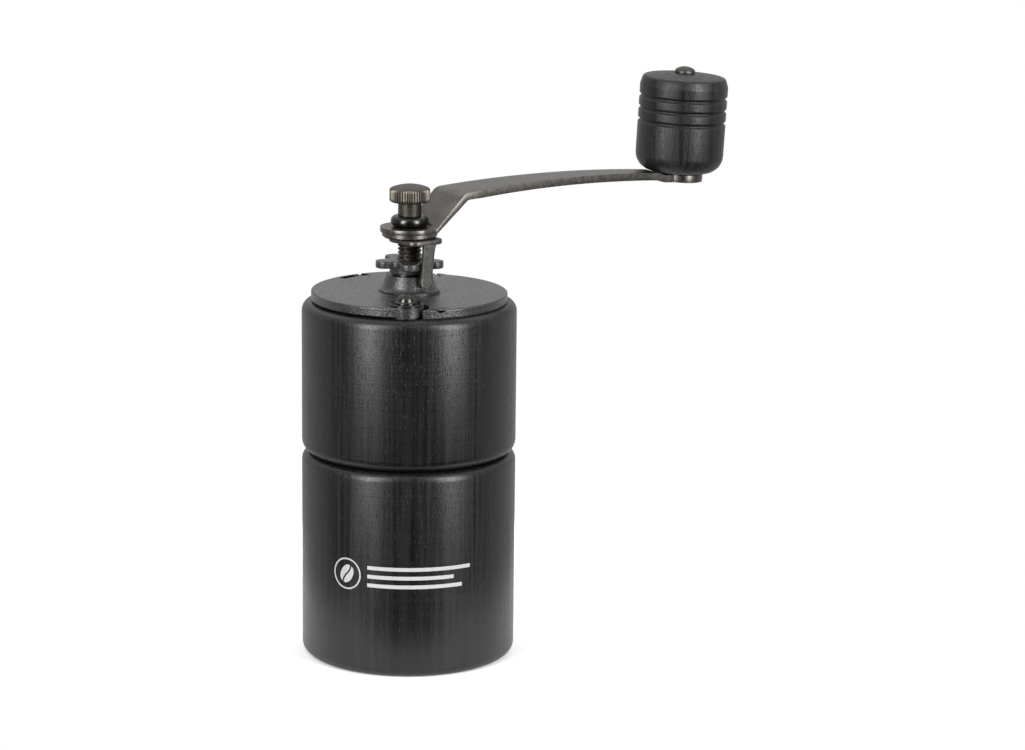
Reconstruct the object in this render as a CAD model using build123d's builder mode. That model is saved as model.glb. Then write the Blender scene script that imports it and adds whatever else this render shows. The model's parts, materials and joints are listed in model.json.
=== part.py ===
from build123d import *
from math import atan2, cos, degrees, radians, sin, tan
import os

# Hand crank coffee grinder. Millimetres, +Z up.
# The origin is the centre of the base, and +Z is the axis of the body and of the spindle.
# -Y is the front, where the lid's pivot is. The crank rests 30 degrees round from +X towards +Y.

# Wooden body
BODY_R = 35.0
SEAM_Z = 67.8
WOOD_TOP = 117.4
CUP_BORE_R = 26.6
CUP_FLOOR = 6.5
SPIGOT_R = 29.4
SPIGOT_H = 6.0
SPIGOT_GAP = 0.2
HOPPER_SEAT_Z = 110.0

# Top casting and lid
TOP_R = 31.9
FRAME_TOP = 120.4
FRAME_RING_R = 28.0
FRAME_RING_BORE_R = 24.5
FRAME_RING_Z = 112.0
SEAT_Z = 117.6
LID_BOTTOM = 117.9
LID_TOP = 121.0
HALF_GAP = 0.25
BOSS_NECK_R = 9.0
BOSS_LIP_R = 10.1
BOSS_LIP_Z = 121.2
BOSS_TIP_R = 7.7
BOSS_TIP_Z = 126.2
PIVOT_X, PIVOT_Y = -1.0, -26.4
EAR_R = 5.7
EAR_CUT_R = 7.4
FRAME_SCREW_X, FRAME_SCREW_Y = 9.5, 28.5

# Spindle, star nut, clip
SHAFT_R = 4.0
THREAD_R = 3.95
THREAD_PITCH = 1.25
THREAD_TURNS = 9
JOURNAL_R = 3.0
JOURNAL_TOP = 84.0
SHAFT_BOTTOM = 69.5
CLIP_Z = 137.0
CLIP_T = 1.5
CLIP_ANGLE = -54.0
TAB_R = 10.8
TAB_T = 1.2
TAB_HALF = 2.05
TAB_TIP_Z = 123.2
DRIVE_FLAT = 6.0
DRIVE_TOP = 141.5
SHAFT_TOP = 150.0
TOP_THREAD_R = 2.45
STAR_Z = 128.7
STAR_TOP = 131.0
STAR_HUB_R = 6.5
STAR_HUB_Z = 126.8
STAR_TIP_R = 11.35
STAR_LOBE_W = 6.2
STAR_LOBES = 5

# Burrs: both are cones with the same slope, wider at the bottom
BURR_SLOPE = 0.331
BURR_REF_Z = 75.5
OUTER_BURR_REF_R = 15.0
BURR_GAP = 0.5
BURR_SCREW_R = 18.9
BURR_SCREWS = 3

# Crank and knob
CRANK_ANGLE = 30.0
ARM_T = 2.5
HUB_T = 1.5
ARM_Z = 140.3
HUB_R = 9.6
BEND_U = 20.5
BEND_SKEW = 0.10
KNOB_U = 104.85
KNOB_Z = 151.5
KNOB_LEAN = 1.64
PAD_SLOPE = -2.18
PAD_R = 7.1
PAD_OFFSET = 1.5
PAD_T = 2.6
KNOB_R = 14.88
KNOB_H = 33.3
KNOB_FOOT = 0.6
KNOB_FOOT_ROUND = 6.0
RIVET_R = 2.0


def rims(part, radius, height):
    """The circular edges of a turned part at one radius and height."""
    circles = part.edges().filter_by(GeomType.CIRCLE)
    return circles.filter_by(
        lambda edge: abs(edge.radius - radius) < 0.01 and abs(edge.arc_center.Z - height) < 0.01
    )


def burr_radius(height, gap=0.0):
    """Radius of the outer burr's cone at a height, less a gap."""
    return OUTER_BURR_REF_R - BURR_SLOPE * (height - BURR_REF_Z) - gap


def polar(radius, angle):
    """A point on the XY plane."""
    return (radius * cos(radians(angle)), radius * sin(radians(angle)))


def dome(radius, foot, top):
    """Outline of a spherical cap, from its rim to the axis."""
    rise = top - foot
    ball = (radius * radius + rise * rise) / (2 * rise)
    half = atan2(radius, foot - top + ball) / 2
    return ThreePointArc((radius, foot), (ball * sin(half), top - ball + ball * cos(half)), (0, top))


# The crank's own directions: out along the arm, and across it towards the front
out_dir = Vector(cos(radians(CRANK_ANGLE)), sin(radians(CRANK_ANGLE)), 0)
front_dir = Vector(sin(radians(CRANK_ANGLE)), -cos(radians(CRANK_ANGLE)), 0)


def arm_frame(u, z, lean, slope):
    """A plane on the arm: local x runs out along the arm, and its normal is the arm's top face."""
    up = Vector(0, 0, 1) + front_dir * tan(radians(lean)) - out_dir * tan(radians(slope))
    along = out_dir + Vector(0, 0, 1) * tan(radians(slope))
    return Plane(origin=out_dir * u + Vector(0, 0, z), x_dir=along, z_dir=up)


# ---------------------------------------------------------------- wooden body

with BuildPart() as lower_body:
    with BuildSketch(Plane.XZ):
        with BuildLine():
            Polyline(
                (0, 0), (BODY_R, 0), (BODY_R, SEAM_Z), (SPIGOT_R, SEAM_Z),
                (SPIGOT_R, SEAM_Z + SPIGOT_H), (CUP_BORE_R, SEAM_Z + SPIGOT_H),
                (CUP_BORE_R, CUP_FLOOR), (0, CUP_FLOOR), close=True,
            )
        make_face()
    revolve(axis=Axis.Z)
    fillet(rims(lower_body, BODY_R, 0), 3.1)
    fillet(rims(lower_body, BODY_R, SEAM_Z), 3.0)
    fillet(rims(lower_body, CUP_BORE_R, CUP_FLOOR), 3.0)
    chamfer(rims(lower_body, SPIGOT_R, SEAM_Z + SPIGOT_H), 0.6)

UPPER_BORE_R = 26.0
FRAME_SEAT_R = FRAME_RING_R + 0.2
REBATE_R = SPIGOT_R + SPIGOT_GAP
REBATE_TOP = SEAM_Z + SPIGOT_H + 1.2

with BuildPart() as upper_body:
    with BuildSketch(Plane.XZ):
        with BuildLine():
            Polyline(
                (REBATE_R, SEAM_Z), (BODY_R, SEAM_Z), (BODY_R, WOOD_TOP), (FRAME_SEAT_R, WOOD_TOP),
                (FRAME_SEAT_R, HOPPER_SEAT_Z), (UPPER_BORE_R, HOPPER_SEAT_Z),
                (UPPER_BORE_R, REBATE_TOP), (REBATE_R, REBATE_TOP), close=True,
            )
        make_face()
    revolve(axis=Axis.Z)
    fillet(rims(upper_body, BODY_R, SEAM_Z), 4.0)
    fillet(rims(upper_body, BODY_R, WOOD_TOP), 3.0)
    with Locations(
        (FRAME_SCREW_X, -FRAME_SCREW_Y, WOOD_TOP), (FRAME_SCREW_X, FRAME_SCREW_Y, WOOD_TOP)
    ):
        Hole(radius=1.3, depth=12.0)

# ---------------------------------------------------------------- top casting

BUSH_R = 5.5
BUSH_FLANGE_R = 8.0
BUSH_FLANGE_Z = 110.5

with BuildPart() as top_frame:
    # Ring in the wood's counterbore, crossed by a bar that carries the boss
    with BuildSketch(Plane.XY.offset(FRAME_RING_Z)):
        Circle(FRAME_RING_R)
        Circle(FRAME_RING_BORE_R, mode=Mode.SUBTRACT)
    extrude(amount=SEAT_Z - FRAME_RING_Z)
    with BuildSketch(Plane.XY.offset(FRAME_RING_Z)):
        Rectangle(8.0, 2 * FRAME_RING_BORE_R + 2.0)
    extrude(amount=SEAT_Z - FRAME_RING_Z)
    # Pad that the lid's ear turns on
    with BuildSketch(Plane.XY.offset(WOOD_TOP)):
        with Locations((PIVOT_X, PIVOT_Y)):
            Circle(5.0)
    extrude(amount=SEAT_Z - WOOD_TOP)
    # Fixed half of the round top, cut away round the ear
    with BuildSketch(Plane.XY.offset(WOOD_TOP)):
        Circle(TOP_R)
        with Locations((-TOP_R + HALF_GAP, 0)):
            Rectangle(2 * TOP_R, 2 * TOP_R, mode=Mode.SUBTRACT)
        with Locations((PIVOT_X, PIVOT_Y)):
            Circle(EAR_CUT_R, mode=Mode.SUBTRACT)
    extrude(amount=FRAME_TOP - WOOD_TOP)
    fillet(rims(top_frame, TOP_R, FRAME_TOP), 0.5)
    fillet(rims(top_frame, TOP_R, WOOD_TOP), 0.4)
    # Flared boss: its lip reaches over the lid, and on the fixed half it stands on a step
    with BuildSketch(Plane.XY.offset(FRAME_TOP - 0.5)):
        Circle(BOSS_LIP_R - 0.2)
        with Locations((-BOSS_LIP_R + HALF_GAP, 0)):
            Rectangle(2 * BOSS_LIP_R, 2 * BOSS_LIP_R, mode=Mode.SUBTRACT)
    extrude(amount=BOSS_LIP_Z - FRAME_TOP + 0.55)
    with BuildSketch(Plane.XZ):
        with BuildLine():
            Polyline(
                (BOSS_TIP_R, BOSS_TIP_Z), (0, BOSS_TIP_Z), (0, FRAME_RING_Z), (BOSS_NECK_R, FRAME_RING_Z),
                (BOSS_NECK_R, BOSS_LIP_Z), (BOSS_LIP_R, BOSS_LIP_Z), (BOSS_LIP_R, BOSS_LIP_Z + 0.1),
            )
            ThreePointArc((BOSS_LIP_R, BOSS_LIP_Z + 0.1), (9.2, 121.9), (8.65, 122.9))
            Line((8.65, 122.9), (BOSS_TIP_R, BOSS_TIP_Z))
        make_face()
    revolve(axis=Axis.Z)
    with Locations((0, 0, BOSS_TIP_Z)):
        Hole(radius=BUSH_R)
    with Locations((PIVOT_X, PIVOT_Y, SEAT_Z)):
        Hole(radius=1.5, depth=5.0)
    with Locations(
        (FRAME_SCREW_X, -FRAME_SCREW_Y, FRAME_TOP), (FRAME_SCREW_X, FRAME_SCREW_Y, FRAME_TOP)
    ):
        CounterSinkHole(radius=1.35, counter_sink_radius=2.75)

with BuildPart() as frame_screws:
    with BuildSketch(Plane.XZ):
        with BuildLine():
            Polyline(
                (0, 106.5), (0.8, 107.4), (1.25, 108.4), (1.25, 118.95), (2.65, 120.35), (0, 120.35),
                close=True,
            )
        make_face()
    revolve(axis=Axis.Z)
    with Locations((0, 0, FRAME_TOP)):
        Box(6.0, 0.8, 1.4, mode=Mode.SUBTRACT)
frame_screw = frame_screws.part
front_screw = Pos(FRAME_SCREW_X, -FRAME_SCREW_Y, 0) * Rot(0, 0, 35) * frame_screw
rear_screw = Pos(FRAME_SCREW_X, FRAME_SCREW_Y, 0) * Rot(0, 0, 110) * frame_screw

# ---------------------------------------------------------------- lid

LID_CUT_R = 9.4

with BuildPart() as lid:
    with BuildSketch(Plane.XY.offset(LID_BOTTOM)):
        Circle(TOP_R)
        with Locations((TOP_R - HALF_GAP, 0)):
            Rectangle(2 * TOP_R, 2 * TOP_R, mode=Mode.SUBTRACT)
        with Locations((PIVOT_X, PIVOT_Y)):
            Circle(EAR_R)
        Circle(LID_CUT_R, mode=Mode.SUBTRACT)
    extrude(amount=LID_TOP - LID_BOTTOM)
    fillet(rims(lid, TOP_R, LID_TOP), 0.5)
    fillet(rims(lid, TOP_R, LID_BOTTOM), 0.4)
    with BuildSketch(Plane.XY.offset(SEAT_Z)):
        with Locations((PIVOT_X, PIVOT_Y)):
            Circle(4.6)
    extrude(amount=LID_BOTTOM - SEAT_Z)
    # Opening mark: a recessed bar and arrowhead near the rim
    with BuildSketch(Plane.XY.offset(LID_TOP)):
        with Locations(Location((-20.0, 21.0, 0), (0, 0, 135))):
            Rectangle(2.6, 6.6)
        with Locations(Location((-15.6, 25.0, 0), (0, 0, 135))):
            Triangle(a=6.4, b=5.6, c=5.6)
    extrude(amount=-0.5, mode=Mode.SUBTRACT)
    with Locations((PIVOT_X, PIVOT_Y, LID_TOP)):
        Hole(radius=1.58)

WASHER_Z = LID_TOP + 0.05
LID_HEAD_Z = 121.75

with BuildPart() as lid_washer:
    with BuildSketch(Plane.XY.offset(WASHER_Z)):
        with Locations((PIVOT_X, PIVOT_Y)):
            Circle(5.2)
    extrude(amount=LID_HEAD_Z - WASHER_Z)
    chamfer(lid_washer.faces().sort_by(Axis.Z)[-1].edges(), 0.25)
    with Locations((PIVOT_X, PIVOT_Y, LID_HEAD_Z)):
        Hole(radius=1.55)

pivot_plane = Plane(origin=(PIVOT_X, PIVOT_Y, 0), x_dir=(1, 0, 0), z_dir=(0, -1, 0))

with BuildPart() as lid_screw:
    with BuildSketch(pivot_plane):
        with BuildLine():
            Polyline(
                (0, 124.9), (0, 113.4), (1.0, 113.4), (1.48, 113.9), (1.48, LID_HEAD_Z),
                (3.6, LID_HEAD_Z), (3.6, 122.15), (3.0, 122.4),
            )
            dome(3.0, 122.4, 124.9)
        make_face()
    revolve(axis=Axis((PIVOT_X, PIVOT_Y, 0), (0, 0, 1)))

# ---------------------------------------------------------------- housing and burrs

HOUSING_BOTTOM = 77.5
BURR_BODY_R = 16.95
BURR_TOP = 90.0
THROAT_Z = 85.0
burr_tilt = degrees(atan2(BURR_SLOPE, 1.0))

with BuildPart() as mill_housing:
    with BuildSketch(Plane.XZ):
        with BuildLine():
            Polyline(
                (17.0, HOUSING_BOTTOM), (21.0, HOUSING_BOTTOM), (21.0, 92.0), (25.8, 100.0),
                (25.8, HOPPER_SEAT_Z), (28.0, HOPPER_SEAT_Z), (28.0, FRAME_RING_Z), (24.3, FRAME_RING_Z),
                (24.3, 100.0), (15.6, BURR_TOP), (17.0, BURR_TOP), close=True,
            )
        make_face()
    revolve(axis=Axis.Z)
    with Locations(Plane.XY.offset(HOUSING_BOTTOM).rotated((180, 0, 0))):
        with PolarLocations(BURR_SCREW_R, BURR_SCREWS):
            Hole(radius=1.27, depth=11.0)

with BuildPart() as outer_burr:
    with BuildSketch(Plane.XZ):
        with BuildLine():
            Polyline(
                (burr_radius(BURR_REF_Z), BURR_REF_Z), (20.8, BURR_REF_Z), (20.8, HOUSING_BOTTOM),
                (BURR_BODY_R, HOUSING_BOTTOM), (BURR_BODY_R, BURR_TOP), (15.4, BURR_TOP),
                (burr_radius(THROAT_Z), THROAT_Z), close=True,
            )
        make_face()
    revolve(axis=Axis.Z)
    # Cutting grooves down the inside of the cone
    with PolarLocations(burr_radius(BURR_REF_Z), 24):
        with Locations(Location((0, 0, BURR_REF_Z), (0, -burr_tilt, 0))):
            Box(1.2, 0.9, 16.0, rotation=(-12, 0, 0), mode=Mode.SUBTRACT)
    with Locations(Plane.XY.offset(HOUSING_BOTTOM)):
        with PolarLocations(BURR_SCREW_R, BURR_SCREWS):
            Hole(radius=1.35)

INNER_BURR_TOP = 93.0
RECESS_TOP = 81.5

with BuildPart() as inner_burr:
    with BuildSketch(Plane.XZ):
        with BuildLine():
            Polyline(
                (7.0, 77.0), (burr_radius(77.0, BURR_GAP), 77.0),
                (burr_radius(INNER_BURR_TOP, BURR_GAP), INNER_BURR_TOP), (SHAFT_R + 0.02, INNER_BURR_TOP),
                (SHAFT_R + 0.02, JOURNAL_TOP), (JOURNAL_R + 0.02, JOURNAL_TOP),
                (JOURNAL_R + 0.02, RECESS_TOP), (7.0, RECESS_TOP), close=True,
            )
        make_face()
    revolve(axis=Axis.Z)
    # Coarse grooves at the throat
    with PolarLocations(burr_radius(INNER_BURR_TOP, BURR_GAP), 6):
        with Locations(Location((0.6, 0, INNER_BURR_TOP), (0, -burr_tilt, 0))):
            Box(2.4, 2.2, 14.0, rotation=(12, 0, 0), mode=Mode.SUBTRACT)
    # Fine grooves at the bottom
    with PolarLocations(burr_radius(77.0, BURR_GAP), 24):
        with Locations(Location((0.3, 0, 77.0), (0, -burr_tilt, 0))):
            Box(1.2, 1.0, 13.0, rotation=(12, 0, 0), mode=Mode.SUBTRACT)
    with Locations(Location((0, 0, 90.0), (90, 0, 0))):
        Cylinder(radius=1.02, height=30.0, mode=Mode.SUBTRACT)

BRIDGE_Z = 72.5

with BuildPart() as lower_bridge:
    with BuildSketch(Plane.XY.offset(BRIDGE_Z)):
        with PolarLocations(BURR_SCREW_R / 2, BURR_SCREWS):
            Rectangle(BURR_SCREW_R, 6.0)
        with PolarLocations(BURR_SCREW_R, BURR_SCREWS):
            Circle(3.4)
        Circle(8.0)
        Circle(4.5, mode=Mode.SUBTRACT)
        with PolarLocations(BURR_SCREW_R, BURR_SCREWS):
            Circle(1.35, mode=Mode.SUBTRACT)
    extrude(amount=BURR_REF_Z - BRIDGE_Z)

with BuildPart() as bridge_bush:
    with BuildSketch(Plane.XY.offset(BRIDGE_Z - 0.5)):
        Circle(4.5)
        Circle(JOURNAL_R + 0.06, mode=Mode.SUBTRACT)
    extrude(amount=BURR_REF_Z - BRIDGE_Z + 0.5)

with BuildPart() as burr_screws:
    with BuildSketch(Plane.XY.offset(BRIDGE_Z - 1.6)):
        with PolarLocations(BURR_SCREW_R, BURR_SCREWS):
            Circle(2.3)
    extrude(amount=1.6)
    fillet(burr_screws.faces().sort_by(Axis.Z)[0:3].edges(), 0.7)
    with BuildSketch(Plane.XY.offset(BRIDGE_Z)):
        with PolarLocations(BURR_SCREW_R, BURR_SCREWS):
            Circle(1.25)
    extrude(amount=15.0)
    with PolarLocations(BURR_SCREW_R, BURR_SCREWS):
        with Locations((0, 0, BRIDGE_Z - 1.6)):
            Box(0.7, 6.0, 1.4, mode=Mode.SUBTRACT)

# ---------------------------------------------------------------- spindle

with BuildPart() as boss_bush:
    with BuildSketch(Plane.XY.offset(BUSH_FLANGE_Z)):
        Circle(BUSH_FLANGE_R)
    extrude(amount=FRAME_RING_Z - BUSH_FLANGE_Z)
    with BuildSketch(Plane.XY.offset(FRAME_RING_Z)):
        Circle(BUSH_R)
    extrude(amount=BOSS_TIP_Z - FRAME_RING_Z)
    with Locations((0, 0, BOSS_TIP_Z)):
        Hole(radius=SHAFT_R + 0.06)

STAR_WASHER_Z = BOSS_TIP_Z + 0.05

with BuildPart() as thrust_washer:
    with BuildSketch(Plane.XY.offset(STAR_WASHER_Z)):
        Circle(5.8)
        Circle(SHAFT_R + 0.1, mode=Mode.SUBTRACT)
    extrude(amount=STAR_HUB_Z - STAR_WASHER_Z)

with BuildPart() as star_nut:
    with BuildSketch(Plane.XY.offset(STAR_HUB_Z)):
        Circle(STAR_HUB_R)
    extrude(amount=STAR_Z - STAR_HUB_Z)
    with BuildSketch(Plane.XY.offset(STAR_Z)) as star:
        Circle(STAR_HUB_R + 0.6)
        with PolarLocations(0, STAR_LOBES, start_angle=-90):
            with Locations((STAR_TIP_R / 2, 0)):
                SlotOverall(STAR_TIP_R, STAR_LOBE_W)
    extrude(amount=STAR_TOP - STAR_Z)
    fillet(star_nut.faces().sort_by(Axis.Z)[-1].outer_wire().edges(), 0.35)
    with Locations((0, 0, STAR_TOP)):
        Hole(radius=SHAFT_R + 0.08)

THREAD_BOTTOM = CLIP_Z - THREAD_TURNS * THREAD_PITCH
thread_outline = [(0, THREAD_BOTTOM), (THREAD_R - 0.55, THREAD_BOTTOM)]
for turn in range(THREAD_TURNS):
    thread_outline.append((THREAD_R, THREAD_BOTTOM + (turn + 0.45) * THREAD_PITCH))
    thread_outline.append((THREAD_R, THREAD_BOTTOM + (turn + 0.58) * THREAD_PITCH))
    thread_outline.append((THREAD_R - 0.55, THREAD_BOTTOM + (turn + 1) * THREAD_PITCH))
thread_outline.append((0, CLIP_Z))

with BuildPart() as shaft:
    with BuildSketch(Plane.XZ):
        with BuildLine():
            Polyline(
                (0, SHAFT_BOTTOM), (JOURNAL_R - 0.5, SHAFT_BOTTOM), (JOURNAL_R, SHAFT_BOTTOM + 0.5),
                (JOURNAL_R, JOURNAL_TOP), (SHAFT_R, JOURNAL_TOP), (SHAFT_R, THREAD_BOTTOM),
                (0, THREAD_BOTTOM), close=True,
            )
        make_face()
    revolve(axis=Axis.Z)
    with BuildSketch(Plane.XZ):
        with BuildLine():
            Polyline(*thread_outline, close=True)
        make_face()
    revolve(axis=Axis.Z)
    # Two flats drive the clip and the arm
    with BuildSketch(Plane.XY.offset(CLIP_Z)):
        Circle(3.9)
        Rectangle(9.0, DRIVE_FLAT, rotation=CRANK_ANGLE, mode=Mode.INTERSECT)
    extrude(amount=DRIVE_TOP - CLIP_Z)
    with BuildSketch(Plane.XY.offset(DRIVE_TOP)):
        Circle(TOP_THREAD_R)
    extrude(amount=SHAFT_TOP - DRIVE_TOP)
    chamfer(rims(shaft, TOP_THREAD_R, SHAFT_TOP), 0.4)
    with Locations(Location((0, 0, 90.0), (90, 0, 0))):
        Cylinder(radius=1.02, height=10.0, mode=Mode.SUBTRACT)

with BuildPart() as drive_pin:
    with Locations(Location((0, 0, 90.0), (90, 0, 0))):
        Cylinder(radius=1.0, height=16.0)

with BuildPart() as burr_washer:
    with BuildSketch(Plane.XY.offset(RECESS_TOP - 0.8)):
        Circle(6.2)
        Circle(JOURNAL_R + 0.1, mode=Mode.SUBTRACT)
    extrude(amount=0.8)

with BuildPart() as burr_nut:
    with BuildSketch(Plane.XY.offset(RECESS_TOP - 3.8)):
        RegularPolygon(radius=5.7, side_count=6)
        Circle(JOURNAL_R + 0.02, mode=Mode.SUBTRACT)
    extrude(amount=3.0)

SPRING_WASHER_T = 0.8
SPRING_R = 6.2
SPRING_WIRE_R = 0.6
SPRING_BOTTOM = INNER_BURR_TOP + SPRING_WASHER_T + 0.1
SPRING_TOP = BUSH_FLANGE_Z - 0.1

with BuildPart() as spring_washer:
    with BuildSketch(Plane.XY.offset(INNER_BURR_TOP)):
        Circle(7.4)
        Circle(SHAFT_R + 0.15, mode=Mode.SUBTRACT)
    extrude(amount=SPRING_WASHER_T)

with BuildPart() as spring:
    spring_height = SPRING_TOP - SPRING_BOTTOM - 2 * SPRING_WIRE_R
    with BuildLine(Plane.XY.offset(SPRING_BOTTOM + SPRING_WIRE_R)) as spring_line:
        Helix(pitch=spring_height / 6, height=spring_height, radius=SPRING_R)
    with BuildSketch(Plane(origin=spring_line.line @ 0, z_dir=spring_line.line % 0)):
        Circle(SPRING_WIRE_R)
    sweep(is_frenet=True)

# ---------------------------------------------------------------- lock clip

with BuildPart() as lock_clip:
    with BuildSketch(Plane.XY.offset(CLIP_Z).rotated((0, 0, CLIP_ANGLE))) as clip_plate:
        with Locations((5.4, 0)):
            Rectangle(10.8, 13.0)
        fillet(clip_plate.vertices().group_by(Axis.X)[-1], 3.0)
        Circle(6.7)
    extrude(amount=CLIP_T)
    # Leaning tab bent down between two lobes of the star nut
    with BuildSketch(Plane.YZ.rotated((0, 0, CLIP_ANGLE)).offset(TAB_R)) as clip_tab:
        with BuildLine():
            Polyline(
                (TAB_HALF + 0.5, CLIP_Z + CLIP_T), (TAB_HALF - 1.1, TAB_TIP_Z),
                (-TAB_HALF - 1.1, TAB_TIP_Z), (-TAB_HALF + 0.5, CLIP_Z + CLIP_T), close=True,
            )
        make_face()
        fillet(clip_tab.vertices().group_by(Axis.Z)[0], 1.6)
    extrude(amount=-TAB_T)
    with BuildSketch(Plane.XY.offset(CLIP_Z)):
        Circle(4.0)
        Rectangle(9.0, DRIVE_FLAT + 0.2, rotation=CRANK_ANGLE, mode=Mode.INTERSECT)
    extrude(amount=CLIP_T, mode=Mode.SUBTRACT)

# ---------------------------------------------------------------- crank arm

CRANK_WASHER_Z = CLIP_Z + CLIP_T

with BuildPart() as crank_washer:
    with BuildSketch(Plane.XY.offset(CRANK_WASHER_Z)):
        Circle(9.0)
        Circle(4.05, mode=Mode.SUBTRACT)
    extrude(amount=ARM_Z - CRANK_WASHER_Z)
    chamfer(rims(crank_washer, 9.0, CRANK_WASHER_Z), 0.5)

knob_base = arm_frame(KNOB_U, KNOB_Z, KNOB_LEAN, PAD_SLOPE)

# Top face of the arm in its own vertical plane: flat hub, riser at 46 degrees, long shallow arch
hub_mid_z = ARM_Z + HUB_T / 2
riser_foot_u = 5.7
arch_start = (15.6, 152.5)
arch_top = (57.0, 154.25)
arch_end = (92.0, 152.9)
dip = (96.8, 151.75)
ARM_ROOT_W = 16.4
ARM_TIP_W = 8.0
ARM_STATIONS = 6
side_plane = Plane(origin=(0, 0, 0), x_dir=out_dir, z_dir=front_dir)
arch = ThreePointArc(arch_start, arch_top, arch_end)


def arch_point(u):
    """Height and slope of the arch's top face at a distance from the shaft."""
    centre = arch.arc_center
    rise = (arch.radius ** 2 - (u - centre.X) ** 2) ** 0.5
    return centre.Y + rise, degrees(atan2(centre.X - u, rise))


def arm_section(u, height, share, slope, thickness):
    """Rectangle across the arm; share is 0 at the riser and 1 at the pad's neck."""
    frame = arm_frame(u, height, KNOB_LEAN * share, slope)
    with BuildSketch(Plane(origin=frame.origin, x_dir=frame.y_dir, z_dir=frame.x_dir)) as section:
        with Locations((0, -thickness / 2)):
            Rectangle(ARM_ROOT_W + (ARM_TIP_W - ARM_ROOT_W) * share, thickness)
    return section.sketch.face()


arm_sections = []
for station in range(ARM_STATIONS + 1):
    share = station / ARM_STATIONS
    u = BEND_U - 1.0 + share * (arch_end[0] - BEND_U + 1.0)
    height, slope = arch_point(u)
    arm_sections.append(arm_section(u, height, share, slope, HUB_T if station == 0 else ARM_T))
arm_sections.append(arm_section(dip[0], dip[1], 1.0, -6.0, ARM_T))
pad_neck = PAD_OFFSET - 4.5
pad_neck_z = KNOB_Z + pad_neck * tan(radians(PAD_SLOPE)) - 0.05
arm_sections.append(arm_section(KNOB_U + pad_neck, pad_neck_z, 1.0, PAD_SLOPE, ARM_T))

bend_z = arch_point(BEND_U)[0]
skew_dir = front_dir + out_dir * BEND_SKEW

with BuildPart() as crank_arm:
    # Hub and riser: the bent strip, its bends a little askew, cut to its outline seen from above
    with BuildSketch(side_plane):
        with BuildLine():
            FilletPolyline(
                (-HUB_R - 1.5, hub_mid_z), (riser_foot_u, hub_mid_z),
                (arch_start[0], arch_start[1] - HUB_T / 2), (BEND_U + 1.5, bend_z - HUB_T / 2),
                radius=(1.6, 4.0),
            )
        trace(line_width=HUB_T)
    extrude(amount=12.0, dir=skew_dir, both=True)
    with BuildSketch(Plane.XY.offset(ARM_Z - 5.0).rotated((0, 0, CRANK_ANGLE))) as outline:
        Circle(HUB_R)
        with Locations((BEND_U / 2, 0)):
            Rectangle(BEND_U, ARM_ROOT_W)
    extrude(amount=20.0, mode=Mode.INTERSECT)
    # Long arched stretch, tapering and leaning towards the front
    loft(arm_sections)
    # Round pad under the knob
    with BuildSketch(knob_base):
        with Locations((PAD_OFFSET, 0)):
            Circle(PAD_R)
    extrude(amount=-PAD_T)
    with BuildSketch(knob_base):
        Circle(RIVET_R)
    extrude(amount=-2 * PAD_T, mode=Mode.SUBTRACT)
    # Flat seat for the knob's washer
    with BuildSketch(knob_base):
        Circle(PAD_R + 2.0)
    extrude(amount=1.0, mode=Mode.SUBTRACT)
    with BuildSketch(Plane.XY.offset(ARM_Z)):
        Circle(4.0)
        Rectangle(9.0, DRIVE_FLAT + 0.2, rotation=CRANK_ANGLE, mode=Mode.INTERSECT)
    extrude(amount=HUB_T, mode=Mode.SUBTRACT)

# ---------------------------------------------------------------- thumb nut

DOME_Z = ARM_Z + HUB_T
DOME_TOP = 145.4
NECK_R = 3.8
HEAD_Z = 149.9
HEAD_R = 6.6
KNURLS = 48

with BuildPart() as dome_washer:
    with BuildSketch(Plane.XZ):
        with BuildLine():
            Polyline((3.9, DOME_TOP), (2.6, DOME_TOP), (2.6, DOME_Z), (4.7, DOME_Z))
            ThreePointArc((4.7, DOME_Z), (6.2, 143.7), (3.9, DOME_TOP))
        make_face()
    revolve(axis=Axis.Z)

knurl_points = []
for ridge in range(KNURLS):
    angle = ridge * 360 / KNURLS
    knurl_points.append(polar(HEAD_R, angle))
    knurl_points.append(polar(HEAD_R - 0.35, angle + 180 / KNURLS))

with BuildPart() as thumb_nut:
    with BuildSketch(Plane.XY.offset(HEAD_Z)):
        with BuildLine():
            Polyline(*knurl_points, close=True)
        make_face()
    extrude(amount=6.0)
    with BuildSketch(Plane.XZ):
        with BuildLine():
            Polyline((0, 155.6), (0, HEAD_Z), (6.0, HEAD_Z), (HEAD_R, HEAD_Z + 0.5), (HEAD_R, 153.95))
            Line((HEAD_R, 153.95), (6.1, 154.4))
            dome(6.1, 154.4, 155.6)
        make_face()
    revolve(axis=Axis.Z, mode=Mode.INTERSECT)
    with BuildSketch(Plane.XY.offset(DOME_TOP)):
        Circle(NECK_R)
    extrude(amount=HEAD_Z - DOME_TOP)
    with BuildSketch(Plane.XY.offset(DOME_TOP)):
        Circle(TOP_THREAD_R + 0.1)
    extrude(amount=6.1, mode=Mode.SUBTRACT)

# ---------------------------------------------------------------- knob

knob_side = Plane(origin=knob_base.origin, x_dir=knob_base.x_dir, z_dir=-knob_base.y_dir)
knob_axis = Axis(knob_base.origin, knob_base.z_dir)
BUSH_BORE_R = RIVET_R + 0.08
KNOB_BORE_R = 3.2
KNOB_TOP = KNOB_FOOT + KNOB_H
GROOVE_PITCH = 4.1
TOP_GROOVE = KNOB_TOP - 7.9

with BuildPart() as knob_washer:
    with BuildSketch(knob_base):
        Circle(5.8)
        Circle(RIVET_R, mode=Mode.SUBTRACT)
    extrude(amount=0.5)

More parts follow.
